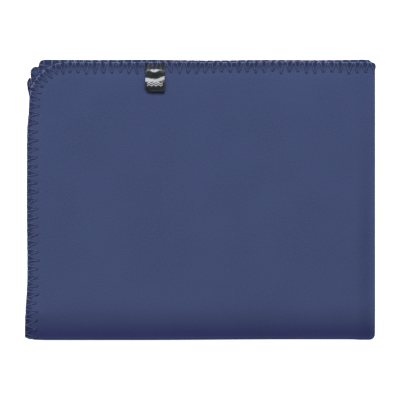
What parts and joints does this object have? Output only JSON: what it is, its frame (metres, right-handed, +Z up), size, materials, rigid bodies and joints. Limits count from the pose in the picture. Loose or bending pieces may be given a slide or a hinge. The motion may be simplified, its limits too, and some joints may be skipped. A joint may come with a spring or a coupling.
{
  "type": "travel towel",
  "caption": "Quick-dry microfibre towel folded into a flat rectangular pad, with overlocked edges and a small satin loop label; it opens about its bottom fold.",
  "frame": {"origin": "on the surface that the folded pad lies on, under the middle of the pad", "axes": "+X to the right along the pad's width, towards the side fold; +Y towards the open hemmed edge that holds the label; +Z up, out of the front face"},
  "size_m": [0.1504, 0.1204, 0.0113],
  "materials": {
    "microfibre_cloth": "sueded navy microfibre knit, matt with a soft sheen",
    "overlock_thread": "textured polyester thread, tone on tone navy",
    "label_satin": "woven polyester satin ribbon, charcoal, glossy"
  },
  "bodies": {
    "back_half": {"back_layer_1": "microfibre_cloth", "back_hem_1": "overlock_thread", "bottom_roll_1": "microfibre_cloth", "back_layer_2": "microfibre_cloth", "back_hem_2": "overlock_thread", "bottom_roll_2": "microfibre_cloth", "back_layer_3": "microfibre_cloth", "back_hem_3": "overlock_thread", "bottom_roll_3": "microfibre_cloth", "back_layer_4": "microfibre_cloth", "back_hem_4": "overlock_thread", "bottom_roll_4": "microfibre_cloth", "back_side_fold_outer": "microfibre_cloth", "top_fold_outer": "microfibre_cloth", "roll_corner_outer": "microfibre_cloth", "back_side_fold_inner": "microfibre_cloth", "top_fold_inner": "microfibre_cloth", "roll_corner_inner": "microfibre_cloth"},
    "front_half": {"front_layer_1": "microfibre_cloth", "front_hem_1": "overlock_thread", "front_layer_2": "microfibre_cloth", "front_hem_2": "overlock_thread", "front_layer_3": "microfibre_cloth", "front_hem_3": "overlock_thread", "front_layer_4": "microfibre_cloth", "front_hem_4": "overlock_thread", "front_side_fold_outer": "microfibre_cloth", "front_side_fold_inner": "microfibre_cloth", "label_sewn_end": "label_satin"},
    "label_loop": {"label_flap": "label_satin"}
  },
  "joints": [
    {"name": "bottom_fold", "type": "hinge", "parent": "back_half", "child": "front_half", "pos_m": [0, -0.05975, 0.00515], "axis": [1, 0, 0], "range_deg": [0, 180], "deforming": ["bottom_roll_1", "bottom_roll_2", "bottom_roll_3", "bottom_roll_4", "roll_corner_outer", "roll_corner_inner"]},
    {"name": "label_seam", "type": "hinge", "parent": "front_half", "child": "label_loop", "pos_m": [-0.01995, 0.05485, 0.0113], "axis": [-1, 0, 0], "range_deg": [0, 170]}
  ]
}
